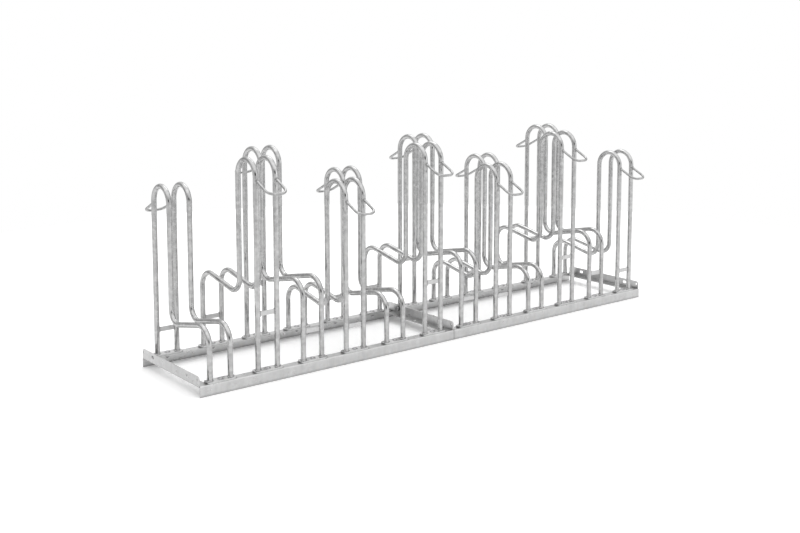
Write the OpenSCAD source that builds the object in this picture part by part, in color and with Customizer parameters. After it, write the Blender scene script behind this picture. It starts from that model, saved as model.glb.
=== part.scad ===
// A two tier bike rack of galvanised steel, made of two modules bolted end to end.
// Each holder is a pair of bent tubes that takes one wheel from the front or from the back.
// Low and high holders follow each other in twos, so that handlebars pass over one another.
// X runs along the rack, Y from front to back, and the origin is the middle of its footprint.

/* [Layout] */
// Number of wheel holders in each of the two modules
holders_per_module = 6; // [2:1:6]
// Distance between neighbouring holders of one module, middle to middle
holder_pitch = 175; // [150:1:400]
// From the joint between the modules to the middle of the nearest holder
inner_margin = 87.5; // [70:0.5:200]
// From the middle of the last holder to the free end of its module
outer_margin = 83.5; // [70:0.5:200]
// Distance from the front legs to the back legs, middle to middle
leg_span = 365.4; // [280:0.2:600]

/* [Rails and cross members] */
// Width of both flanges of the steel angle
angle_w = 36; // [32:0.5:50]
// Thickness of the steel angle
angle_t = 3; // [2:0.1:5]
// Outside radius of the steel angle's bend
angle_bend_r = 4; // [1:0.5:7]
// From the rail's outer face in to the middle of the legs
leg_inset = 18.8; // [16:0.1:21]
// How far the rails stop short of the cross members' outer faces
rail_end_gap = 1; // [0:0.1:3]
// Clearance between a rail's notched flange and the cross member that stands in the notch
notch_gap = 1; // [0.2:0.1:4]
// Clearance between the ends of a cross member and the rails
cross_end_gap = 0.5; // [0.2:0.1:3]
// Radius of a cross member's upper corners
cross_corner_r = 10; // [3:0.5:16]
// From the end of a cross member to the middle of its slot
slot_inset = 73; // [40:1:110]
// Length of the slots, end to end
slot_l = 20; // [15:0.5:36]
// Height of the slots' middle above the underside of the cross member
slot_rise = 21.5; // [18:0.5:24]
// From the end of a cross member to its round hole
end_hole_inset = 9.5; // [8:0.5:14]
// Height of the round holes above the underside of the cross member
end_hole_rise = 24; // [14:0.5:26]
// Diameter of the round holes near the ends of a cross member
end_hole_d = 9; // [5:0.5:10]
// Diameter of the hole for the ground anchor
anchor_hole_d = 14; // [8:0.5:18]
// From the cross member's outer face to the middle of the anchor hole
anchor_inset = 21; // [15:0.5:25]

/* [Holder tubes] */
// Outside diameter of the tubes
tube_d = 18; // [14:0.5:22]
// Wall of the tubes
tube_wall = 2; // [1:0.1:4]
// Clear gap between the two tubes of a holder, where the wheel stands
wheel_gap = 55.2; // [40:0.2:70]
// Height of a low holder's hoop above the ground
hoop_top = 630.8; // [480:0.1:900]
// Radius of the hoop at the middle of the tube
hoop_r = 55.2; // [35:0.2:70]
// Height of the bed's lowest place on a low holder, at the middle of the tube
bed_low = 177; // [140:0.5:300]
// Slope of the bed, which rises away from the hoop
bed_slope = 11.5; // [2:0.5:20]
// Radius of the bend between the hoop and the bed, at the middle of the tube
low_bend_r = 45; // [25:0.5:60]
// Radius of the bend between the bed and the short leg, at the middle of the tube
top_bend_r = 57; // [25:0.5:70]
// How much higher the high holders stand than the low ones
high_lift = 101; // [20:0.5:200]

/* [Lock loops] */
// Diameter of the round bar of the loops
loop_rod_d = 9; // [6:0.5:12]
// Length of a loop along its slope, from the leg's middle to the middle of its outer run
loop_l = 87; // [55:0.5:120]
// Angle by which a loop hangs below the level
loop_tilt = 27; // [0:1:50]
// Radius of a loop's corners, at the middle of the bar
loop_corner_r = 26; // [10:0.5:30]
// From the start of the hoop's bend down to the loop's middle line
loop_below_bend = 5; // [4:0.5:80]

/* [Tie bars] */
// Height of a tie bar's flat side
tie_h = 15; // [8:0.5:30]
// Thickness of a tie bar
tie_t = 5; // [3:0.5:8]
// Height of the tie bar's middle between the long legs of a low holder
tie_rise = 125.5; // [70:0.5:150]
// Height of the tie bar's middle between the short legs of a high holder
short_tie_rise = 138.5; // [70:0.5:200]

/* [Foot plates] */
// Thickness of the foot plates
plate_t = 6; // [3:0.5:10]
// Radius of a foot plate's corners
plate_corner_r = 11; // [2:0.5:13]
// How far a foot plate runs past the outer side of its tubes
plate_overhang = 8.4; // [2:0.2:12]
// From the rail's outer face in to the edge of a foot plate
plate_edge = 2.8; // [0:0.1:4]

/* [Fasteners] */
// Diameter of the carriage bolts that hold the foot plates
foot_bolt_d = 8; // [6:0.5:10]
// Diameter of the hexagon bolts that join the two modules
joint_bolt_d = 10; // [6:0.5:12]
// How far the bolts reach past their nuts
bolt_tail = 3; // [1:0.5:8]
// How much wider than its bolt a drilled hole is
hole_clearance = 1; // [0.4:0.1:2]
// How much wider than its bolt a slot is
slot_clearance = 2; // [0.5:0.1:3]

/* [Hidden] */
$fn = 64;
// How far cutting shapes run past what they cut
overrun = 1;
// Gap that the weld fills between a saddle end and its tube
weld_gap = 0.2;
// Gap round a thread, a washer's hole and a square neck
thread_gap = 0.1;
washer_gap = 0.3;
neck_gap = 0.1;

// Sizes of the fasteners as shares of their bolt's diameter
across_flats_share = 1.6;
hex_head_share = 0.64;
nut_h_share = 0.82;
washer_d_share = 2;
washer_t_share = 0.2;
neck_side_share = 1.05;
neck_h_share = 0.55;
dome_d_share = 2.575;
dome_h_share = 0.6;

rail_colour = "#c6c8c8";
cross_colour = "#c2c4c4";
tube_colour = "#b3b5b5";
plate_colour = "#bcbebe";
fastener_colour = "#a7a9aa";

module_sides = ["left", "right"];
faces = ["front", "back"];
cross_places = ["end", "joint"];

holder_count = 2 * holders_per_module;
module_l = inner_margin + (holders_per_module - 1) * holder_pitch + outer_margin;
leg_y = leg_span / 2;
rail_y = leg_y + leg_inset;
pair_x = (wheel_gap + tube_d) / 2;

inside_bend_r = max(angle_bend_r - angle_t, 0);
notch_l = angle_t + notch_gap;
cross_half_l = rail_y - angle_t - inside_bend_r - cross_end_gap;
cross_z = angle_w - 2 * angle_t;
slot_y = cross_half_l - slot_inset;
slot_z = cross_z + slot_rise;
slot_w = joint_bolt_d + slot_clearance;

plate_top = angle_w + plate_t;
plate_l = 2 * (pair_x + tube_d / 2 + plate_overhang);
plate_d = 2 * (leg_inset - plate_edge);

hoop_z = hoop_top - tube_d / 2 - hoop_r;
low_bend_y = leg_y - 2 * hoop_r - low_bend_r;
low_bend_z = bed_low + low_bend_r;
top_bend_y = top_bend_r - leg_y;

// The bed is an arc so long in radius that it looks straight, and meets both bends smoothly
bed_crown = 1;
bed_start_slope = bed_slope + bed_crown / 2;
bed_end_slope = bed_slope - bed_crown / 2;
bed_arc_r = (low_bend_y - top_bend_y - low_bend_r * sin(bed_start_slope) - top_bend_r * sin(bed_end_slope))
    / (sin(bed_start_slope) - sin(bed_end_slope));
bed_arc_y = low_bend_y - (low_bend_r + bed_arc_r) * sin(bed_start_slope);
bed_arc_z = low_bend_z - (low_bend_r + bed_arc_r) * cos(bed_start_slope);
top_bend_z = bed_arc_z + (bed_arc_r - top_bend_r) * cos(bed_end_slope);
// Each half of the straight between hoop and bed is this share of it, so that the halves overlap
drop_share = 0.6;

// Holders are numbered from the left end of the rack
holders = [for (n = [1:holder_count]) n];

function is_high(n) = floor(n / 2) % 2 == 1;
function is_back(n) = n % 2 == 1;
function lift(n) = is_high(n) ? high_lift : 0;
function facing(n) = is_back(n) ? 1 : -1;
function in_left(n) = n <= holders_per_module;
function steps_from_joint(n) = in_left(n) ? holders_per_module - n : n - holders_per_module - 1;
function holder_x(n) = (in_left(n) ? -1 : 1) * (inner_margin + steps_from_joint(n) * holder_pitch);
function on_side(side) = [for (n = holders) if (in_left(n) == (side == "left")) n];

function across_corners(d) = d * across_flats_share / cos(30);
function washer_t(d) = d * washer_t_share;
function nut_h(d) = d * nut_h_share;

function two_digits(n) = n < 10 ? str("0", n) : str(n);
function rail_name(side, face) = str("rail_", side, "_", face);
function cross_name(side, place) = str("cross_member_", side, "_", place);
function tube_name(n, side) = str("holder_", two_digits(n), "_tube_", side);
function loop_name(n) = str("holder_", two_digits(n), "_lock_loop");
function plates_name(side, face) = str("foot_plates_", side, "_", face);
function ties_name(side) = str("tie_bars_", side);
function foot_bolts_name(face) = str("foot_bolts_", face);

// Section of the cold formed angle, with its outside corner at the origin
module angle_section() {
    difference() {
        union() {
            square([angle_w, angle_t]);
            square([angle_t, angle_w]);
            translate([angle_t, angle_t])
                inside_fillet(inside_bend_r);
        }
        inside_fillet(angle_bend_r);
    }
}

// The corner of a square that a round corner of radius r leaves over
module inside_fillet(r) {
    difference() {
        square(r);
        translate([r, r])
            circle(r);
    }
}

module rounded_rectangle(l, d, r) {
    square([l - 2 * r, d], center = true);
    square([l, d - 2 * r], center = true);
    for (x = [-1, 1], y = [-1, 1]) {
        translate([x * (l / 2 - r), y * (d / 2 - r)])
            circle(r);
    }
}

module obround(l, w) {
    square([l - w, w], center = true);
    for (x = [-1, 1]) {
        translate([x * (l - w) / 2, 0])
            circle(d = w);
    }
}

// Turns a flat outline so that it stands across X, with its own x along Y
module across_x() {
    rotate([90, 0, 90])
        children();
}

// Back rail of the right module, with its flange pointing in under the foot plates
module rail_angle() {
    difference() {
        translate([rail_end_gap, 0, 0])
            across_x()
            linear_extrude(module_l - 2 * rail_end_gap)
            translate([rail_y, angle_w])
            rotate(180)
            angle_section();
        for (x = [-overrun, module_l - notch_l]) {
            translate([x, rail_y - angle_w - overrun, angle_w - angle_t - inside_bend_r])
                cube([
                    notch_l + overrun,
                    angle_w - angle_t + overrun,
                    angle_t + inside_bend_r + overrun
                ]);
        }
        for (n = on_side("right")) {
            translate([holder_x(n), leg_y, angle_w - angle_t - overrun])
                cylinder(d = foot_bolt_d + hole_clearance, h = angle_t + 2 * overrun);
        }
    }
}

module rail(side, face) {
    color(rail_colour)
        mirror([side == "left" ? 1 : 0, 0, 0])
        mirror([0, face == "front" ? 1 : 0, 0])
        rail_angle();
}

// Cross member whose outer face stands at X zero, with its foot flange pointing to +X
module cross_angle() {
    cut_t = angle_t + 2 * overrun;
    difference() {
        translate([0, 0, cross_z])
            rotate([90, 0, 0])
            linear_extrude(2 * cross_half_l, center = true)
            angle_section();
        for (y = [-1, 1]) {
            translate([-overrun, y * (cross_half_l - cross_corner_r), cross_z + angle_w - cross_corner_r])
                across_x()
                linear_extrude(cut_t)
                difference() {
                    translate([y > 0 ? 0 : -cross_corner_r - overrun, 0])
                        square(cross_corner_r + overrun);
                    circle(cross_corner_r);
                }
            translate([-overrun, y * slot_y, slot_z])
                across_x()
                linear_extrude(cut_t)
                obround(slot_l, slot_w);
            translate([-overrun, y * (cross_half_l - end_hole_inset), cross_z + end_hole_rise])
                rotate([0, 90, 0])
                cylinder(d = end_hole_d, h = cut_t);
        }
        translate([anchor_inset, 0, cross_z - overrun])
            cylinder(d = anchor_hole_d, h = cut_t);
    }
}

module cross_member(side, place) {
    color(cross_colour)
        mirror([side == "left" ? 1 : 0, 0, 0])
        translate([place == "end" ? module_l : 0, 0, 0])
        mirror([place == "end" ? 1 : 0, 0, 0])
        cross_angle();
}

module tube_section() {
    difference() {
        circle(d = tube_d);
        circle(d = tube_d - 2 * tube_wall);
    }
}

// Moves by whole millimetres, then by thousandths, then by the rest, which keeps every digit
module move_exactly(v) {
    whole = [for (c = v) round(c)];
    fine = [for (c = v - whole) round(c * 1000) / 1000];
    translate(whole)
        translate(fine)
        translate(v - whole - fine)
        children();
}

// Straight tube that starts at the height z and runs up, or down for a negative length
module upright(y, z, l) {
    move_exactly([0, y, z])
        mirror([0, 0, l < 0 ? 1 : 0])
        linear_extrude(abs(l))
        tube_section();
}

// Arc of tube in the plane across X, from the angle start through the angle sweep
module tube_arc(y, z, r, start, sweep) {
    move_exactly([0, y, z])
        across_x()
        rotate_extrude(angle = sweep, start = start)
        move_exactly([r, 0, 0])
        tube_section();
}

// One tube from its long leg over the hoop and along the bed to its short leg
module bent_tube(rise) {
    drop_l = hoop_z - low_bend_z;
    upright(leg_y, hoop_z + rise, plate_top - hoop_z - rise);
    tube_arc(leg_y - hoop_r, hoop_z + rise, hoop_r, 0, 180);
    upright(leg_y - 2 * hoop_r, hoop_z + rise, -drop_l * drop_share);
    upright(leg_y - 2 * hoop_r, low_bend_z + rise, drop_l * drop_share);
    tube_arc(low_bend_y, low_bend_z + rise, low_bend_r, -90 - bed_start_slope, 90 + bed_start_slope);
    tube_arc(bed_arc_y, bed_arc_z + rise, bed_arc_r, 90 - bed_start_slope, bed_crown);
    tube_arc(top_bend_y, top_bend_z + rise, top_bend_r, 90 - bed_end_slope, 90 + bed_end_slope);
    upright(-leg_y, top_bend_z + rise, plate_top - top_bend_z - rise);
}

module holder_tube(n, side) {
    color(tube_colour)
        translate([holder_x(n) + (side == "left" ? -pair_x : pair_x), 0, 0])
        rotate(is_back(n) ? 0 : 180)
        bent_tube(lift(n));
}

// Spaces of a holder's two tubes, with their weld gap, that saddle ends are cut to
module saddle_cut(h) {
    for (x = [-pair_x, pair_x]) {
        translate([x, 0, 0])
            cylinder(r = tube_d / 2 + weld_gap, h = h, center = true);
    }
}

// U of round bar that slopes down and away from the long legs
module loop_bar() {
    straight_l = loop_l - loop_corner_r;
    straight_x = pair_x - loop_corner_r;
    for (x = [-1, 1]) {
        translate([x * pair_x, 0, 0])
            rotate([-90, 0, 0])
            cylinder(d = loop_rod_d, h = straight_l);
        translate([x * straight_x, straight_l, 0])
            rotate(x > 0 ? 0 : 90)
            rotate_extrude(angle = 90)
            translate([loop_corner_r, 0])
            circle(d = loop_rod_d);
    }
    translate([-straight_x, loop_l, 0])
        rotate([0, 90, 0])
        cylinder(d = loop_rod_d, h = 2 * straight_x);
}

module lock_loop(n) {
    color(tube_colour)
        translate([holder_x(n), facing(n) * leg_y, hoop_z + lift(n) - loop_below_bend])
        rotate(is_back(n) ? 0 : 180)
        difference() {
            rotate([-loop_tilt, 0, 0])
                loop_bar();
            saddle_cut(2 * tube_d);
        }
}

module tie_bar() {
    difference() {
        cube([2 * pair_x, tie_t, tie_h], center = true);
        saddle_cut(tie_h + 2 * overrun);
    }
}

module tie_bars(side) {
    color(tube_colour)
        for (n = on_side(side)) {
            translate([holder_x(n), facing(n) * leg_y, tie_rise + lift(n)])
                tie_bar();
            if (is_high(n)) {
                translate([holder_x(n), -facing(n) * leg_y, short_tie_rise])
                    tie_bar();
            }
        }
}

module foot_plate() {
    neck_hole = foot_bolt_d * neck_side_share + 2 * neck_gap;
    linear_extrude(plate_t)
        difference() {
            rounded_rectangle(plate_l, plate_d, plate_corner_r);
            square(neck_hole, center = true);
        }
}

module foot_plates(side, face) {
    color(plate_colour)
        for (n = on_side(side)) {
            translate([holder_x(n), face == "front" ? -leg_y : leg_y, angle_w])
                foot_plate();
        }
}

module washer(d) {
    linear_extrude(washer_t(d))
        difference() {
            circle(d = d * washer_d_share);
            circle(d = d + 2 * washer_gap);
        }
}

module hex_nut(d) {
    difference() {
        cylinder(d = across_corners(d), h = nut_h(d), $fn = 6);
        translate([0, 0, -overrun])
            cylinder(d = d + 2 * thread_gap, h = nut_h(d) + 2 * overrun);
    }
}

// Domed bolt whose head sits on zero, with a square neck below it
module carriage_bolt(d, reach) {
    dome_r = d * dome_d_share / 2;
    dome_h = d * dome_h_share;
    sphere_r = (dome_r ^ 2 + dome_h ^ 2) / (2 * dome_h);
    neck_side = d * neck_side_share;
    neck_h = d * neck_h_share;
    intersection() {
        translate([0, 0, dome_h - sphere_r])
            sphere(sphere_r);
        cylinder(r = dome_r + overrun, h = dome_h + overrun);
    }
    translate([-neck_side / 2, -neck_side / 2, -neck_h])
        cube([neck_side, neck_side, neck_h]);
    translate([0, 0, -reach])
        cylinder(d = d, h = reach - neck_h);
}

// Hexagon bolt whose head sits on zero and whose shank points down
module hex_bolt(d, reach) {
    cylinder(d = across_corners(d), h = d * hex_head_share, $fn = 6);
    translate([0, 0, -reach])
        cylinder(d = d, h = reach);
}

module at_feet(on_faces) {
    for (n = holders, face = on_faces) {
        translate([holder_x(n), face == "front" ? -leg_y : leg_y, 0])
            children();
    }
}

module foot_bolts(face) {
    reach = plate_t + angle_t + washer_t(foot_bolt_d) + nut_h(foot_bolt_d) + bolt_tail;
    color(fastener_colour)
        at_feet([face])
        translate([0, 0, plate_top])
        carriage_bolt(foot_bolt_d, reach);
}

module foot_washers() {
    color(fastener_colour)
        at_feet(faces)
        translate([0, 0, angle_w - angle_t - washer_t(foot_bolt_d)])
        washer(foot_bolt_d);
}

module foot_nuts() {
    color(fastener_colour)
        at_feet(faces)
        translate([0, 0, angle_w - angle_t - washer_t(foot_bolt_d) - nut_h(foot_bolt_d)])
        hex_nut(foot_bolt_d);
}

// Places its children at both module joints, with their Z pointing to -X
module at_joints() {
    for (y = [-slot_y, slot_y]) {
        translate([0, y, slot_z])
            rotate([0, -90, 0])
            children();
    }
}

module joint_bolts() {
    d = joint_bolt_d;
    reach = 2 * angle_t + 2 * washer_t(d) + nut_h(d) + bolt_tail;
    color(fastener_colour)
        at_joints()
        translate([0, 0, angle_t + washer_t(d)])
        hex_bolt(d, reach);
}

module joint_washers() {
    color(fastener_colour)
        at_joints()
        for (z = [angle_t, -angle_t - washer_t(joint_bolt_d)]) {
            translate([0, 0, z])
                washer(joint_bolt_d);
        }
}

module joint_nuts() {
    color(fastener_colour)
        at_joints()
        translate([0, 0, -angle_t - washer_t(joint_bolt_d) - nut_h(joint_bolt_d)])
        hex_nut(joint_bolt_d);
}

for (side = module_sides, face = faces) {
    rail(side, face);
    foot_plates(side, face);
}
for (side = module_sides, place = cross_places) {
    cross_member(side, place);
}
for (n = holders, side = module_sides) {
    holder_tube(n, side);
}
for (n = holders) {
    lock_loop(n);
}
for (side = module_sides) {
    tie_bars(side);
}
for (face = faces) {
    foot_bolts(face);
}
foot_washers();
foot_nuts();
joint_bolts();
joint_washers();
joint_nuts();
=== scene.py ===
"""Finishes, weld beads, light and camera for the two tier bike rack.

The rack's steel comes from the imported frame. Every length is in metres unless its name says
otherwise, X runs along the rack, Y from front to back and Z up from the floor.
"""

import math

import bmesh
import bpy
from bpy.props import FloatProperty, FloatVectorProperty, PointerProperty, StringProperty
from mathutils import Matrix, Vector


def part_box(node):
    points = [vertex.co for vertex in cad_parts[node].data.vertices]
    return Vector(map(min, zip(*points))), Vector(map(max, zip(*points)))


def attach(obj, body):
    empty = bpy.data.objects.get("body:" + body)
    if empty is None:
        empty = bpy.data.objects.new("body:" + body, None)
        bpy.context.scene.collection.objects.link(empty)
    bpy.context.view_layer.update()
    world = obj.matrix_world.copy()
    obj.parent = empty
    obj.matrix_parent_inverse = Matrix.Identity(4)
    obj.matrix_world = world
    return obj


bl_info = {
    "name": "Two tier bike rack",
    "version": (1, 0, 0),
    "blender": (4, 5, 0),
    "location": "3D View > Sidebar > Bike rack",
    "description": "Galvanised finishes, weld beads, studio and camera for a two tier bike rack",
    "category": "Object",
}

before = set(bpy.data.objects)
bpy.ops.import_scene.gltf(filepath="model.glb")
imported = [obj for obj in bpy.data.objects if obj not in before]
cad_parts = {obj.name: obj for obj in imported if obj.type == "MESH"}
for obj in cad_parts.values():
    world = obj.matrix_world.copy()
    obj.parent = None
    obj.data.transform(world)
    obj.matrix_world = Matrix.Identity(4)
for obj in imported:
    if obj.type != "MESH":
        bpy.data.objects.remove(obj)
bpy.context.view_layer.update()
MM = 0.001

# Numbers of the holders, the two digits after holder_ in their nodes' names
HOLDERS = sorted(int(name[7:9]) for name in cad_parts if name.endswith("_lock_loop"))
# A point as near as this to a side of its box lies on that side
ON_SIDE = 0.01 * MM


def middle(node):
    """Middle of a node's box."""
    low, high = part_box(node)
    return (low + high) / 2


def holder_x(number):
    """Place of a holder along the rack."""
    return middle(f"holder_{number:02d}_lock_loop").x


def loop_side(number):
    """1 where a holder's hoop and lock loop are at the back, -1 at the front."""
    return 1 if middle(f"holder_{number:02d}_lock_loop").y > 0 else -1


def points_of(node):
    """Points of a node's mesh, in the frame."""
    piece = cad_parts[node]
    return [piece.matrix_world @ vertex.co for vertex in piece.data.vertices]


def tie_bar(number, face):
    """Low and high corner of the tie bar between a holder's tubes at one face, or None where it has none."""
    x = holder_x(number)
    side = "left" if x < 0 else "right"
    near = [p for p in points_of(f"tie_bars_{side}") if abs(p.x - x) < PAIR_X and p.y * face > 0]
    if not near:
        return None
    return [Vector([pick(p[axis] for p in near) for axis in range(3)]) for pick in (min, max)]


def lock_loop_bar(number):
    """Bar radius of a lock loop, the height where its middle line meets the tubes' middle, and its tilt."""
    node = f"holder_{number:02d}_lock_loop"
    low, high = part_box(node)
    radius = (high.x - low.x) / 2 - PAIR_X
    # The points furthest out lie level with the bar's middle line
    edge = sorted((p for p in points_of(node) if high.x - p.x < ON_SIDE), key=lambda p: abs(p.y))
    start, end = edge[0], edge[-1]
    slope = (start.z - end.z) / (abs(end.y) - abs(start.y))
    return radius, start.z + (abs(start.y) - LEG_Y) * slope, math.atan(slope)


# The pieces' own sizes, read from the frame
TUBE_R = (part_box("holder_01_tube_left")[1].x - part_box("holder_01_tube_left")[0].x) / 2
PAIR_X = (middle("holder_01_tube_right").x - middle("holder_01_tube_left").x) / 2
LEG_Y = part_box("holder_01_tube_left")[1].y - TUBE_R
PLATE_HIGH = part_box("foot_plates_left_front")[1].z
ANGLE_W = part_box("rail_left_front")[1].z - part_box("rail_left_front")[0].z
# Thickness of the angle steel
ANGLE_T = 3 * MM

# Zinc by kind of piece: roughness, length of the run-off streaks in mm, how much streaks and crystals
# change the colour, height of the unevenness in mm, and share of the colour left under the painted shade in a
# corner
ZINC_ON = {
    "angle": (0.32, 90, 0.22, 0.10, 0.2, 0.4),
    "tube": (0.14, 120, 0.30, 0.36, 0.10, 0.5),
    "round_bar": (0.14, 120, 0.30, 0.36, 0.10, 0.5),
    "flat_bar": (0.32, 60, 0.20, 0.12, 0.15, 0.5),
    "plate": (0.20, 30, 0.12, 0.14, 0.15, 0.15),
    "weld": (0.20, 20, 0.1, 0.1, 0.15, 0.2),
}
# Soft clouds in the zinc: their size, and how much they change colour and roughness
CLOUD_SIZE = (45 * MM, 45 * MM, 45 * MM)
CLOUD_DEPTH, CLOUD_ROUGHNESS = 0.16, -0.12
# How much the crystals change the roughness
CRYSTAL_ROUGHNESS = 0.10
# Size of the unevenness, which is longer along Z, and how strongly it tilts the surface
UNEVEN_SIZE = (6 * MM, 6 * MM, 16 * MM)
UNEVEN_STRENGTH = 0.35
# Handling marks on the fasteners: their size, and the lowest and highest colour share and roughness
MARK_SIZE = (1.2 * MM, 1.2 * MM, 1.2 * MM)
MARK_TINT, MARK_ROUGHNESS = (0.88, 1.06), (0.08, 0.22)
# Share of a fastener's colour left under the painted shade in a corner
FASTENER_CORNER_SHADE = 0.1
# Reach of the painted shade in the corners between pieces, which darkens the colour where ambient
# occlusion finds other surfaces near, the open shares at which it is full and gone, and how many rays look
# for it
CORNER_SHADE_REACH = 10 * MM
SHADE_FULL, SHADE_GONE = 0.3, 0.9
SHADE_SAMPLES = 6

# How deep a foot's fillet sinks into its tube and into its plate
TUBE_SINK, PLATE_SINK = 0.4 * MM, 0.3 * MM
# Outside of that fillet from the plate upwards, as shares of its width and of its leg
FILLET_SHARES = ((1, 0.06), (0.66, 0.22), (0.38, 0.46), (0.16, 0.78))
FILLET_TOP_SHARE = 1.08
# How much the ripples swell a fillet and a round bead, and how thin an open bead ends
FILLET_RIPPLE, BEAD_RIPPLE, BEAD_END_SHARE = 0.22, 0.28, 0.45
# How far outside a tie bar's section and a loop's bar the middle of the bead runs
TIE_BEAD_OUT, ROD_BEAD_OUT = 0.6 * MM, 0.3 * MM
# A frame bead is this much shorter than the flange is wide. Its radius, and how far inside the rail's
# edge it lies, are shares of its leg
FRAME_BEAD_SHORT = 8 * MM
FRAME_BEAD_R_SHARE, FRAME_BEAD_IN_SHARE = 0.6, 0.25
# Numbers of steps round a foot's fillet, round a bead, round a loop's bar and along a frame bead
FILLET_STEPS, BEAD_SIDES, ROD_STEPS, FRAME_STEPS = 72, 10, 36, 24
# Numbers of steps along the long and the short sides of a tie bar's section
TIE_LONG_STEPS, TIE_SHORT_STEPS = 18, 7
# A path rises too steeply to take its side from Z where its direction's Z is this much or more
NEARLY_UPRIGHT = 0.95

# Brightness by height in degrees, of the room on the camera's side and of the white tent behind the rack
ROOM_LEVELS = ((-90, 0.95), (-6, 0.90), (4, 0.70), (13, 0.62), (22, 0.72), (36, 1.10), (52, 1.30), (70, 1.36))
TENT_LEVELS = (
    (-90, 1.0), (-6, 0.75), (2, 0.45), (8, 0.48), (12, 0.88),
    (20, 0.95), (34, 0.92), (48, 0.92), (62, 1.00), (78, 1.25),
)
# Round parts of the surroundings: how far their middle is turned to the camera's right from the way back
# to the camera, how far it rises, and the angles from it at which their edge starts and at which they are
# full, all in degrees. What stands out in the room has levels of its own
TENT_SIDE = (180, 0, 75, 40)
DARK_DOORWAY = (10, 14, 32, 8, ((4, 0.80), (9, 0.05), (18, 0.05), (25, 0.80)))
WHITE_WALL = (74, 6, 40, 18, ((0, 1.10), (8, 1.35), (18, 1.15), (27, 1.00), (60, 1.30)))
GREY_CORNER = (-112, 20, 36, 16, ((0, 0.62), (15, 0.50), (32, 0.66), (46, 1.05)))

# Brightness that white stands for in the colour ramps that hold these levels
RAMP_WHITE = 2.0

# The large lamp: its width and depth, its place, and the point that it faces
LAMP_SIZE = (2.0, 1.4)
LAMP_PLACE = (0.7, 1.3, 2.9)
LAMP_AIM = (0, 0, 0.2)
SENSOR_WIDTH_MM = 36
# Nearest and furthest that the camera sees
CAMERA_CLIP = (0.05, 100)


# ---------------------------------------------------------------- sizes and colours to change


class RackFinish(bpy.types.PropertyGroup):
    """Look of the zinc on each kind of piece."""

    angle_colour: StringProperty(
        name="Angle steel",
        description="Zinc colour of rails, cross members and tie bars, sRGB hex",
        default="#cfcfcf",
    )
    tube_colour: StringProperty(
        name="Tubes", description="Zinc colour of the holder tubes, sRGB hex", default="#c2c2c2"
    )
    loop_colour: StringProperty(
        name="Lock loops", description="Zinc colour of the lock loops, sRGB hex", default="#b4b4b4"
    )
    plate_colour: StringProperty(
        name="Foot plates", description="Zinc colour of the foot plates, sRGB hex", default="#d0d0d0"
    )
    fastener_colour: StringProperty(
        name="Fasteners",
        description="Colour of the electroplated bolts, washers and nuts, sRGB hex",
        default="#a8a8a9",
    )
    weld_colour: StringProperty(
        name="Welds", description="Colour of the zinc over the weld beads, sRGB hex", default="#b4b4b4"
    )
    spangle_mm: FloatProperty(
        name="Spangle",
        description="Width of one zinc crystal, in mm",
        default=10.0,
        min=2.0,
    )
    streak_mm: FloatProperty(
        name="Streaks",
        description="Width of the streaks left by zinc running off, in mm",
        default=16.0,
        min=2.0,
    )


class RackWelds(bpy.types.PropertyGroup):
    """Sizes of the weld beads."""

    foot_leg: FloatProperty(
        name="Foot bead",
        description="Leg of the fillet round each tube's foot",
        default=0.0026,
        unit="LENGTH",
    )
    bar_bead: FloatProperty(
        name="Bar bead",
        description="Radius of the beads on tie bars and lock loops",
        default=0.0018,
        unit="LENGTH",
    )
    frame_leg: FloatProperty(
        name="Frame bead",
        description="Leg of the fillet between cross members and rails",
        default=0.003,
        unit="LENGTH",
    )
    ripple: FloatProperty(
        name="Ripple",
        description="Distance between the ripples of a bead",
        default=0.0026,
        unit="LENGTH",
    )


class RackStage(bpy.types.PropertyGroup):
    """Floor, light and camera."""

    floor_colour: StringProperty(
        name="Floor",
        description="Colour of the floor, sRGB hex",
        default="#e6e6e6",
    )
    floor_radius: FloatProperty(
        name="Floor radius", description="Radius of the round floor", default=3.0, unit="LENGTH"
    )
    floor_exposure: FloatProperty(
        name="Floor exposure",
        description="How much brighter the camera sees the floor than the steel does",
        default=1.355,
    )
    floor_glow: FloatProperty(
        name="Floor glow", description="White added to the floor where the camera sees it", default=0.07
    )
    floor_mirrored: FloatProperty(
        name="Floor in the steel",
        description="White added to the floor where the steel mirrors it",
        default=0.14,
    )
    key_power: FloatProperty(
        name="Key lamp",
        description="Power of the large lamp, in watts",
        default=10.5,
    )
    camera_place: FloatVectorProperty(
        name="Camera",
        description="Place of the camera",
        default=(-2.6283, -3.1903, 1.1455),
        unit="LENGTH",
    )
    camera_heading: FloatProperty(
        name="Heading", description="Camera's heading from +X, in degrees", default=51.738
    )
    camera_pitch: FloatProperty(
        name="Pitch",
        description="How far the camera looks down, in degrees",
        default=6.183,
    )
    camera_lens: FloatProperty(
        name="Lens",
        description="Focal length on a 36 mm wide sensor, in mm",
        default=49.811,
    )
    camera_shift: FloatVectorProperty(
        name="Shift",
        description="Lens shift as a share of the picture's width",
        size=2,
        default=(0.0048, -0.15),
    )


# ---------------------------------------------------------------- materials


def linear(colour):
    """Linear RGBA of an sRGB hex colour."""
    channels = [int(colour[i : i + 2], 16) / 255 for i in (1, 3, 5)]
    return (*[c / 12.92 if c <= 0.04045 else ((c + 0.055) / 1.055) ** 2.4 for c in channels], 1.0)


def add_node(tree, kind, inputs=None, **settings):
    """Adds a node with its settings. An input's value is a number, a colour, or the socket that feeds it."""
    node = tree.nodes.new(kind)
    for name, value in settings.items():
        setattr(node, name, value)
    for name, value in (inputs or {}).items():
        if isinstance(value, bpy.types.NodeSocket):
            tree.links.new(value, node.inputs[name])
        else:
            node.inputs[name].default_value = value
    return node


def scaled_position(tree, x, y, z):
    """Place on the object divided by a length for each direction, so that one unit of noise is that long."""
    place = add_node(tree, "ShaderNodeTexCoord").outputs["Object"]
    size = add_node(tree, "ShaderNodeVectorMath", {0: place, 1: (1 / x, 1 / y, 1 / z)}, operation="MULTIPLY")
    return size.outputs["Vector"]


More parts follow.
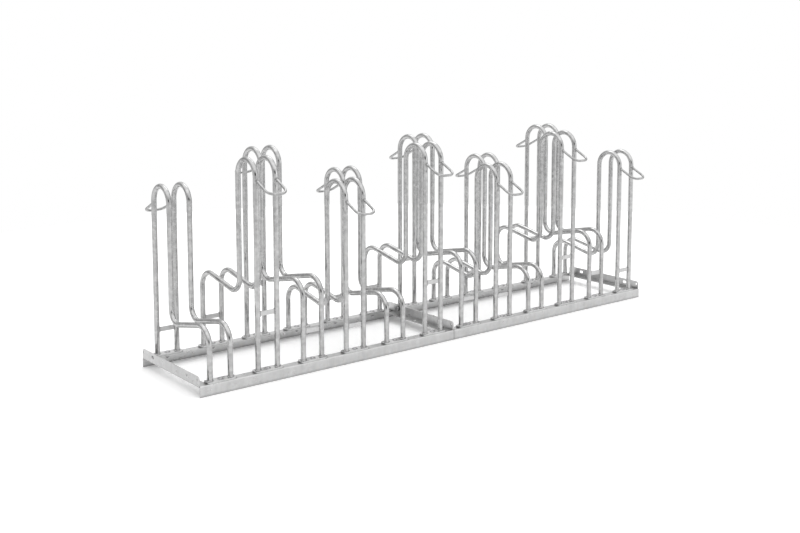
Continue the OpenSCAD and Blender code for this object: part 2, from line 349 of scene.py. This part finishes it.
def empty_material(name):
    """New material without nodes, and its node tree."""
    material = bpy.data.materials.new(name)
    material.use_nodes = True
    material.node_tree.nodes.clear()
    return material, material.node_tree


def painted_corner_shade(tree, colour, darkest):
    """Colour with painted shade: darker in the corners between pieces, as far as ambient occlusion finds them
    closed in.
    """
    corner = add_node(tree, "ShaderNodeAmbientOcclusion", {"Distance": CORNER_SHADE_REACH}, samples=SHADE_SAMPLES)
    limits = {"From Min": SHADE_FULL, "From Max": SHADE_GONE, "To Min": darkest, "To Max": 1.0}
    level = add_node(tree, "ShaderNodeMapRange", {"Value": corner.outputs["AO"], **limits}).outputs["Result"]
    return add_node(
        tree, "ShaderNodeVectorMath", {0: colour, "Scale": level}, operation="SCALE"
    ).outputs["Vector"]


def hot_dip_zinc(kind, colour, finish):
    """Mild steel dipped in molten zinc and left to cool.

    The eye gets a satin light grey metal with soft clouds, faint crystals of a centimetre or so, and
    streaks where the zinc ran off as the piece was lifted out. The surface is slightly uneven.
    """
    roughness, streak_length_mm, streak_depth, crystal_depth, uneven_mm, painted_shade_share = ZINC_ON[kind]
    material, tree = empty_material(f"hot_dip_zinc_on_{kind}")
    crystal, streak, along = finish.spangle_mm * MM, finish.streak_mm * MM, streak_length_mm * MM

    cells = add_node(
        tree,
        "ShaderNodeTexVoronoi",
        {"Vector": scaled_position(tree, crystal, crystal, crystal), "Scale": 1.0, "Randomness": 1.0},
        feature="SMOOTH_F1",
    )
    crystals = add_node(tree, "ShaderNodeSeparateColor", {"Color": cells.outputs["Color"]}).outputs["Red"]
    clouds = add_node(
        tree,
        "ShaderNodeTexNoise",
        {"Vector": scaled_position(tree, *CLOUD_SIZE), "Scale": 1.0, "Detail": 3.0, "Roughness": 0.55},
    ).outputs["Fac"]
    streaks = add_node(
        tree,
        "ShaderNodeTexNoise",
        {
            "Vector": scaled_position(tree, streak, streak, along),
            "Scale": 1.0,
            "Detail": 2.0,
            "Roughness": 0.5,
        },
    ).outputs["Fac"]

    def around_zero(value, depth):
        """A value from 0 to 1, moved to lie around 0 and made this deep."""
        shifted = add_node(tree, "ShaderNodeMath", {0: value, 1: 0.5}, operation="SUBTRACT").outputs[0]
        return add_node(tree, "ShaderNodeMath", {0: shifted, 1: depth}, operation="MULTIPLY").outputs[0]

    parts = {0: around_zero(streaks, streak_depth), 1: around_zero(clouds, CLOUD_DEPTH)}
    spread = add_node(tree, "ShaderNodeMath", parts, operation="ADD").outputs[0]
    parts = {0: spread, 1: around_zero(crystals, crystal_depth)}
    spread = add_node(tree, "ShaderNodeMath", parts, operation="ADD").outputs[0]
    level = add_node(tree, "ShaderNodeMath", {0: spread, 1: 1.0}, operation="ADD").outputs[0]
    base = add_node(
        tree, "ShaderNodeVectorMath", {0: linear(colour)[:3], "Scale": level}, operation="SCALE"
    ).outputs["Vector"]

    parts = {0: around_zero(crystals, CRYSTAL_ROUGHNESS), 1: roughness}
    rough = add_node(tree, "ShaderNodeMath", parts, operation="ADD").outputs[0]
    parts = {0: around_zero(clouds, CLOUD_ROUGHNESS), 1: rough}
    rough = add_node(tree, "ShaderNodeMath", parts, operation="ADD").outputs[0]

    uneven = add_node(
        tree,
        "ShaderNodeTexNoise",
        {"Vector": scaled_position(tree, *UNEVEN_SIZE), "Scale": 1.0, "Detail": 2.0, "Roughness": 0.6},
    ).outputs["Fac"]
    height = {"Height": uneven, "Strength": UNEVEN_STRENGTH, "Distance": uneven_mm * MM}
    bump = add_node(tree, "ShaderNodeBump", height).outputs["Normal"]
    # The base colour carries painted shade in the corners between pieces
    look = {"Base Color": painted_corner_shade(tree, base, painted_shade_share), "Roughness": rough, "Metallic": 1.0, "Normal": bump}
    shader = add_node(tree, "ShaderNodeBsdfPrincipled", look)
    add_node(tree, "ShaderNodeOutputMaterial", {"Surface": shader.outputs[0]})
    return material


def electroplated_zinc(colour):
    """Steel fasteners with a thin electroplated zinc coat: brighter and smoother than the dipped pieces."""
    material, tree = empty_material("electroplated_zinc")
    marks = add_node(
        tree, "ShaderNodeTexNoise", {"Vector": scaled_position(tree, *MARK_SIZE), "Scale": 1.0, "Detail": 2.0}
    ).outputs["Fac"]
    limits = {"To Min": MARK_TINT[0], "To Max": MARK_TINT[1]}
    tint = add_node(tree, "ShaderNodeMapRange", {"Value": marks, **limits}).outputs["Result"]
    base = add_node(
        tree, "ShaderNodeVectorMath", {0: linear(colour)[:3], "Scale": tint}, operation="SCALE"
    ).outputs["Vector"]
    limits = {"To Min": MARK_ROUGHNESS[0], "To Max": MARK_ROUGHNESS[1]}
    rough = add_node(tree, "ShaderNodeMapRange", {"Value": marks, **limits}).outputs["Result"]
    # The base colour carries painted shade in the corners between pieces
    look = {"Base Color": painted_corner_shade(tree, base, FASTENER_CORNER_SHADE), "Roughness": rough, "Metallic": 1.0}
    shader = add_node(tree, "ShaderNodeBsdfPrincipled", look)
    add_node(tree, "ShaderNodeOutputMaterial", {"Surface": shader.outputs[0]})
    return material


def dress(node, material):
    """Gives a CAD node its material."""
    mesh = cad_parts[node].data
    mesh.materials.clear()
    mesh.materials.append(material)


def nodes_starting(*starts):
    """Names of the CAD nodes that start with one of these words, in order."""
    return sorted(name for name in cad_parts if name.startswith(starts))


# ---------------------------------------------------------------- weld beads


def add_piece(name, mesh, material):
    """Puts a finished bmesh in the scene as a piece that rides on the rack."""
    data = bpy.data.meshes.new(name)
    mesh.to_mesh(data)
    mesh.free()
    data.materials.append(material)
    data.shade_smooth()
    piece = bpy.data.objects.new(name, data)
    bpy.context.scene.collection.objects.link(piece)
    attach(piece, "root")
    return piece


def ring_grid(mesh, rings, closed):
    """Joins rings of points into a tube or a closed loop of tube."""
    made = [[mesh.verts.new(point) for point in ring] for ring in rings]
    count = len(made[0])
    steps = len(made) if closed else len(made) - 1
    for i in range(steps):
        this, following = made[i], made[(i + 1) % len(made)]
        for j in range(count):
            mesh.faces.new((this[j], this[(j + 1) % count], following[(j + 1) % count], following[j]))
    if not closed:
        mesh.faces.new(reversed(made[0]))
        mesh.faces.new(made[-1])


def rippled(distance, spacing, depth):
    """Factor that swells and shrinks a bead along its length, once each spacing."""
    return 1 + depth * abs(math.sin(math.pi * distance / spacing)) - depth / 2


def bead(mesh, path, radius, spacing, closed=True):
    """Lays a rippled round bead along a path of points."""
    count = len(path)
    rings, travelled = [], 0.0
    for i, point in enumerate(path):
        before = path[i - 1] if closed or i > 0 else point
        after = path[(i + 1) % count] if closed or i < count - 1 else point
        along = (after - before).normalized()
        side = along.orthogonal().normalized()
        if abs(along.z) < NEARLY_UPRIGHT:
            side = along.cross(Vector((0, 0, 1))).normalized()
        up = side.cross(along)
        r = radius * rippled(travelled, spacing, BEAD_RIPPLE)
        if not closed and i in (0, count - 1):
            r *= BEAD_END_SHARE
        angles = [2 * math.pi * k / BEAD_SIDES for k in range(BEAD_SIDES)]
        rings.append([point + (side * math.cos(a) + up * math.sin(a)) * r for a in angles])
        travelled += (after - point).length
    ring_grid(mesh, rings, closed)


def foot_fillet(mesh, x, y, z, leg, spacing):
    """Ring of weld in the corner between a tube and its foot plate."""
    rings = []
    for i in range(FILLET_STEPS):
        a = 2 * math.pi * i / FILLET_STEPS
        width = leg * rippled(a * TUBE_R, spacing, FILLET_RIPPLE)
        out = Vector((math.cos(a), math.sin(a), 0))
        section = [(-TUBE_SINK, -PLATE_SINK), (width, -PLATE_SINK)]
        section += [(across * width, rise * leg) for across, rise in FILLET_SHARES]
        section += [(-TUBE_SINK, FILLET_TOP_SHARE * leg)]
        rings.append([Vector((x, y, z)) + out * (TUBE_R + r) + Vector((0, 0, h)) for r, h in section])
    ring_grid(mesh, rings, True)


def bar_outline(side, x, y, z, width, height):
    """Closed path round the end of a flat bar, laid on the tube that it meets."""
    half_y, half_z = width / 2 + TIE_BEAD_OUT, height / 2 + TIE_BEAD_OUT
    corners = [(half_y, -half_z), (half_y, half_z), (-half_y, half_z), (-half_y, -half_z)]
    path = []
    for i, (y0, z0) in enumerate(corners):
        y1, z1 = corners[(i + 1) % 4]
        steps = TIE_LONG_STEPS if abs(z1 - z0) > abs(y1 - y0) else TIE_SHORT_STEPS
        for k in range(steps):
            t = k / steps
            py, pz = y0 + (y1 - y0) * t, z0 + (z1 - z0) * t
            path.append(Vector((x + side * math.sqrt(max(TUBE_R**2 - py**2, 0)), y + py, z + pz)))
    return path


def rod_outline(x, y, z, rod_r, tilt, facing):
    """Closed path where a lock loop's sloping bar meets its tube."""
    along = Vector((0, facing * math.cos(tilt), -math.sin(tilt)))
    across = Vector((1, 0, 0))
    up = across.cross(along) * -facing
    path = []
    for i in range(ROD_STEPS):
        a = 2 * math.pi * i / ROD_STEPS
        start = (across * math.cos(a) + up * math.sin(a)) * (rod_r + ROD_BEAD_OUT)
        # How far along the bar this line leaves the tube
        flat = max(TUBE_R**2 - start.x**2, 0) ** 0.5
        reach = (flat - start.y * facing) / math.cos(tilt)
        path.append(Vector((x, y, z)) + start + along * reach)
    return path


# ---------------------------------------------------------------- operators


class RACK_OT_angle_steel(bpy.types.Operator):
    """Finish the rails and cross members"""

    bl_idname = "rack.angle_steel"
    bl_label = "Finish angle steel"

    def execute(self, context):
        finish = context.scene.rack_finish
        zinc = hot_dip_zinc("angle", finish.angle_colour, finish)
        for node in nodes_starting("rail_", "cross_member_"):
            dress(node, zinc)
        return {"FINISHED"}


class RACK_OT_tubes(bpy.types.Operator):
    """Finish the bent holder tubes, the lock loops and the tie bars"""

    bl_idname = "rack.tubes"
    bl_label = "Finish tubes"

    def execute(self, context):
        finish = context.scene.rack_finish
        zinc = hot_dip_zinc("tube", finish.tube_colour, finish)
        bar = hot_dip_zinc("round_bar", finish.loop_colour, finish)
        for node in nodes_starting("holder_"):
            dress(node, bar if node.endswith("lock_loop") else zinc)
        flat = hot_dip_zinc("flat_bar", finish.angle_colour, finish)
        for node in nodes_starting("tie_bars_"):
            dress(node, flat)
        return {"FINISHED"}


class RACK_OT_foot_plates(bpy.types.Operator):
    """Finish the foot plates"""

    bl_idname = "rack.foot_plates"
    bl_label = "Finish foot plates"

    def execute(self, context):
        finish = context.scene.rack_finish
        zinc = hot_dip_zinc("plate", finish.plate_colour, finish)
        for node in nodes_starting("foot_plates_"):
            dress(node, zinc)
        return {"FINISHED"}


class RACK_OT_fasteners(bpy.types.Operator):
    """Finish the bolts, washers and nuts"""

    bl_idname = "rack.fasteners"
    bl_label = "Finish fasteners"

    def execute(self, context):
        zinc = electroplated_zinc(context.scene.rack_finish.fastener_colour)
        for node in nodes_starting("foot_bolts_", "foot_washers", "foot_nuts", "joint_"):
            dress(node, zinc)
        return {"FINISHED"}


class RACK_OT_foot_welds(bpy.types.Operator):
    """Weld every tube to its foot plate"""

    bl_idname = "rack.foot_welds"
    bl_label = "Foot welds"

    def execute(self, context):
        welds, finish = context.scene.rack_welds, context.scene.rack_finish
        zinc = hot_dip_zinc("weld", finish.weld_colour, finish)
        mesh = bmesh.new()
        for number in HOLDERS:
            for side in (-1, 1):
                for face in (-1, 1):
                    x = holder_x(number) + side * PAIR_X
                    foot_fillet(mesh, x, face * LEG_Y, PLATE_HIGH, welds.foot_leg, welds.ripple)
        add_piece("foot_welds", mesh, zinc)
        return {"FINISHED"}


class RACK_OT_bar_welds(bpy.types.Operator):
    """Weld the tie bars and lock loops to their tubes"""

    bl_idname = "rack.bar_welds"
    bl_label = "Tie bar and lock loop welds"

    def execute(self, context):
        welds, zinc = context.scene.rack_welds, bpy.data.materials["hot_dip_zinc_on_weld"]
        ties, loops = bmesh.new(), bmesh.new()
        for number in HOLDERS:
            x, loop_face = holder_x(number), loop_side(number)
            for face in (-1, 1):
                bar = tie_bar(number, face)
                if bar is None:
                    continue
                low, high = bar
                z, width, height = (low.z + high.z) / 2, high.y - low.y, high.z - low.z
                for side in (-1, 1):
                    path = bar_outline(-side, x + side * PAIR_X, face * LEG_Y, z, width, height)
                    bead(ties, path, welds.bar_bead, welds.ripple)
            radius, z, tilt = lock_loop_bar(number)
            for side in (-1, 1):
                path = rod_outline(x + side * PAIR_X, loop_face * LEG_Y, z, radius, tilt, loop_face)
                bead(loops, path, welds.bar_bead, welds.ripple)
        add_piece("tie_bar_welds", ties, zinc)
        add_piece("lock_loop_welds", loops, zinc)
        return {"FINISHED"}


class RACK_OT_frame_welds(bpy.types.Operator):
    """Weld the cross members' foot flanges to the rails"""

    bl_idname = "rack.frame_welds"
    bl_label = "Frame welds"

    def execute(self, context):
        welds, zinc = context.scene.rack_welds, bpy.data.materials["hot_dip_zinc_on_weld"]
        mesh = bmesh.new()
        for node in nodes_starting("cross_member_"):
            low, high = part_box(node)
            inward = 1 if (node.endswith("end")) == (low.x < 0) else -1
            wall = low.x if inward > 0 else high.x
            for face in ("front", "back"):
                rail_low, rail_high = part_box("rail_left_" + face)
                edge = rail_high.y if face == "front" else rail_low.y
                into = 1 if face == "front" else -1
                path = []
                for i in range(FRAME_STEPS + 1):
                    x = wall + inward * (2 * ANGLE_T + (ANGLE_W - FRAME_BEAD_SHORT) * i / FRAME_STEPS)
                    y = edge + into * welds.frame_leg * FRAME_BEAD_IN_SHARE
                    path.append(Vector((x, y, low.z + ANGLE_T)))
                bead(mesh, path, welds.frame_leg * FRAME_BEAD_R_SHARE, welds.ripple, closed=False)
        add_piece("frame_welds", mesh, zinc)
        return {"FINISHED"}


class RACK_OT_stage(bpy.types.Operator):
    """Set up the floor, the light tent, the lamp and the camera"""

    bl_idname = "rack.stage"
    bl_label = "Stage"

    def execute(self, context):
        stage = context.scene.rack_stage
        self.make_floor(context, stage)
        self.make_world(context, stage)
        self.make_lamp(context, stage)
        self.make_camera(context, stage)
        return {"FINISHED"}

    def make_floor(self, context, stage):
        mesh = bmesh.new()
        bmesh.ops.create_circle(mesh, cap_ends=True, segments=96, radius=stage.floor_radius)
        data = bpy.data.meshes.new("floor")
        mesh.to_mesh(data)
        mesh.free()
        floor = bpy.data.objects.new("floor", data)
        context.scene.collection.objects.link(floor)
        material, tree = empty_material("pale_matt_floor")
        rays = add_node(tree, "ShaderNodeLightPath").outputs
        limits = {"To Min": 1.0, "To Max": stage.floor_exposure}
        exposure = add_node(
            tree, "ShaderNodeMapRange", {"Value": rays["Is Camera Ray"], **limits}
        ).outputs["Result"]
        shade = {0: linear(stage.floor_colour)[:3], "Scale": exposure}
        colour = add_node(tree, "ShaderNodeVectorMath", shade, operation="SCALE").outputs["Vector"]
        matt = add_node(tree, "ShaderNodeBsdfDiffuse", {"Color": colour})
        glossy = {0: rays["Is Glossy Ray"], 1: stage.floor_mirrored}
        mirrored = add_node(tree, "ShaderNodeMath", glossy, operation="MULTIPLY").outputs[0]
        seen = {0: rays["Is Camera Ray"], 1: stage.floor_glow, 2: mirrored}
        strength = add_node(tree, "ShaderNodeMath", seen, operation="MULTIPLY_ADD").outputs[0]
        glow = add_node(tree, "ShaderNodeEmission", {"Color": (1, 1, 1, 1), "Strength": strength})
        both = add_node(tree, "ShaderNodeAddShader", {0: matt.outputs[0], 1: glow.outputs[0]})
        add_node(tree, "ShaderNodeOutputMaterial", {"Surface": both.outputs[0]})
        data.materials.append(material)

    def make_world(self, context, stage):
        """A white tent behind the rack and overhead, and a dimmer room on the camera's side.

        The steel mirrors them, and the camera sees plain white in their place.
        """
        world = bpy.data.worlds.new("light_tent")
        context.scene.world = world
        world.use_nodes = True
        tree = world.node_tree
        tree.nodes.clear()
        direction = add_node(tree, "ShaderNodeTexCoord").outputs["Generated"]
        heading = math.radians(stage.camera_heading)

        def towards(turn, rise):
            """Direction at an angle to the camera's right and up, counted from the way back to the camera."""
            a, e = math.radians(turn), math.radians(rise)
            back, right = math.cos(a) * math.cos(e), math.sin(a) * math.cos(e)
            return (
                -math.cos(heading) * back + math.sin(heading) * right,
                -math.sin(heading) * back - math.cos(heading) * right,
                math.sin(e),
            )

        def panel(turn, rise, start, full):
            """1 in the middle of a round panel with a soft edge, and 0 outside it."""
            near = add_node(
                tree, "ShaderNodeVectorMath", {0: direction, 1: towards(turn, rise)}, operation="DOT_PRODUCT"
            ).outputs["Value"]
            limits = {"From Min": math.cos(math.radians(start)), "From Max": math.cos(math.radians(full))}
            return add_node(
                tree, "ShaderNodeMapRange", {"Value": near, **limits}, interpolation_type="SMOOTHSTEP"
            ).outputs["Result"]

        def by_height(stops):
            """Brightness that depends on the height of the direction above the horizon, in degrees."""
            up = add_node(tree, "ShaderNodeSeparateXYZ", {0: direction}).outputs["Z"]
            limits = {"From Min": -1.0, "From Max": 1.0}
            share = add_node(tree, "ShaderNodeMapRange", {"Value": up, **limits}).outputs["Result"]
            ramp = add_node(tree, "ShaderNodeValToRGB", {"Fac": share})
            points = ramp.color_ramp.elements
            for _ in stops[2:]:
                points.new(1.0)
            for point, (angle, level) in zip(points, stops):
                point.position = (math.sin(math.radians(angle)) + 1) / 2
                grey = level / RAMP_WHITE
                point.color = (grey, grey, grey, 1)
            levels = {0: ramp.outputs["Color"], 1: RAMP_WHITE}
            return add_node(tree, "ShaderNodeMath", levels, operation="MULTIPLY").outputs[0]

        layers = {"Factor": panel(*TENT_SIDE), "A": by_height(ROOM_LEVELS), "B": by_height(TENT_LEVELS)}
        light = add_node(tree, "ShaderNodeMix", layers, data_type="FLOAT").outputs[0]
        for *place, levels in (WHITE_WALL, GREY_CORNER, DARK_DOORWAY):
            layers = {"Factor": panel(*place), "A": light, "B": by_height(levels)}
            light = add_node(tree, "ShaderNodeMix", layers, data_type="FLOAT").outputs[0]
        camera_ray = add_node(tree, "ShaderNodeLightPath").outputs["Is Camera Ray"]
        layers = {"Factor": camera_ray, "A": light, "B": 1.0}
        strength = add_node(tree, "ShaderNodeMix", layers, data_type="FLOAT").outputs[0]
        background = add_node(tree, "ShaderNodeBackground", {"Color": (1, 1, 1, 1), "Strength": strength})
        add_node(tree, "ShaderNodeOutputWorld", {"Surface": background.outputs[0]})

    def make_lamp(self, context, stage):
        lamp = bpy.data.lights.new("key_lamp", "AREA")
        lamp.shape = "RECTANGLE"
        lamp.size, lamp.size_y = LAMP_SIZE
        lamp.energy = stage.key_power
        key = bpy.data.objects.new("key_lamp", lamp)
        key.location = LAMP_PLACE
        key.rotation_euler = (Vector(LAMP_AIM) - key.location).to_track_quat("-Z", "Y").to_euler()
        context.scene.collection.objects.link(key)

    def make_camera(self, context, stage):
        data = bpy.data.cameras.new("photo_camera")
        data.sensor_width = SENSOR_WIDTH_MM
        data.lens = stage.camera_lens
        data.shift_x, data.shift_y = stage.camera_shift
        data.clip_start, data.clip_end = CAMERA_CLIP
        camera = bpy.data.objects.new("photo_camera", data)
        heading, pitch = math.radians(stage.camera_heading), math.radians(stage.camera_pitch)
        level = math.cos(pitch)
        look = Vector((math.cos(heading) * level, math.sin(heading) * level, -math.sin(pitch)))
        camera.location = stage.camera_place
        camera.rotation_euler = look.to_track_quat("-Z", "Y").to_euler()
        context.scene.collection.objects.link(camera)
        context.scene.camera = camera
        context.scene.view_settings.view_transform = "Standard"


class RACK_PT_panel(bpy.types.Panel):
    """Lists the steps that dress the rack"""

    bl_label = "Bike rack"
    bl_idname = "RACK_PT_panel"
    bl_space_type = "VIEW_3D"
    bl_region_type = "UI"
    bl_category = "Bike rack"

    def draw(self, context):
        scene = context.scene
        for group in (scene.rack_finish, scene.rack_welds, scene.rack_stage):
            box = self.layout.box()
            for name in group.__annotations__:
                box.prop(group, name)
        for operator in OPERATORS:
            self.layout.operator(operator.bl_idname)


OPERATORS = (
    RACK_OT_angle_steel,
    RACK_OT_tubes,
    RACK_OT_foot_plates,
    RACK_OT_fasteners,
    RACK_OT_foot_welds,
    RACK_OT_bar_welds,
    RACK_OT_frame_welds,
    RACK_OT_stage,
)
CLASSES = (RackFinish, RackWelds, RackStage, *OPERATORS, RACK_PT_panel)


def register():
    for cls in CLASSES:
        bpy.utils.register_class(cls)
    bpy.types.Scene.rack_finish = PointerProperty(type=RackFinish)
    bpy.types.Scene.rack_welds = PointerProperty(type=RackWelds)
    bpy.types.Scene.rack_stage = PointerProperty(type=RackStage)


def unregister():
    del bpy.types.Scene.rack_stage
    del bpy.types.Scene.rack_welds
    del bpy.types.Scene.rack_finish
    for cls in reversed(CLASSES):
        bpy.utils.unregister_class(cls)


def main():
    """Runs every step in order."""
    register()
    bpy.ops.rack.angle_steel()
    bpy.ops.rack.tubes()
    bpy.ops.rack.foot_plates()
    bpy.ops.rack.fasteners()
    bpy.ops.rack.foot_welds()
    bpy.ops.rack.bar_welds()
    bpy.ops.rack.frame_welds()
    bpy.ops.rack.stage()


if __name__ == "__main__":
    main()
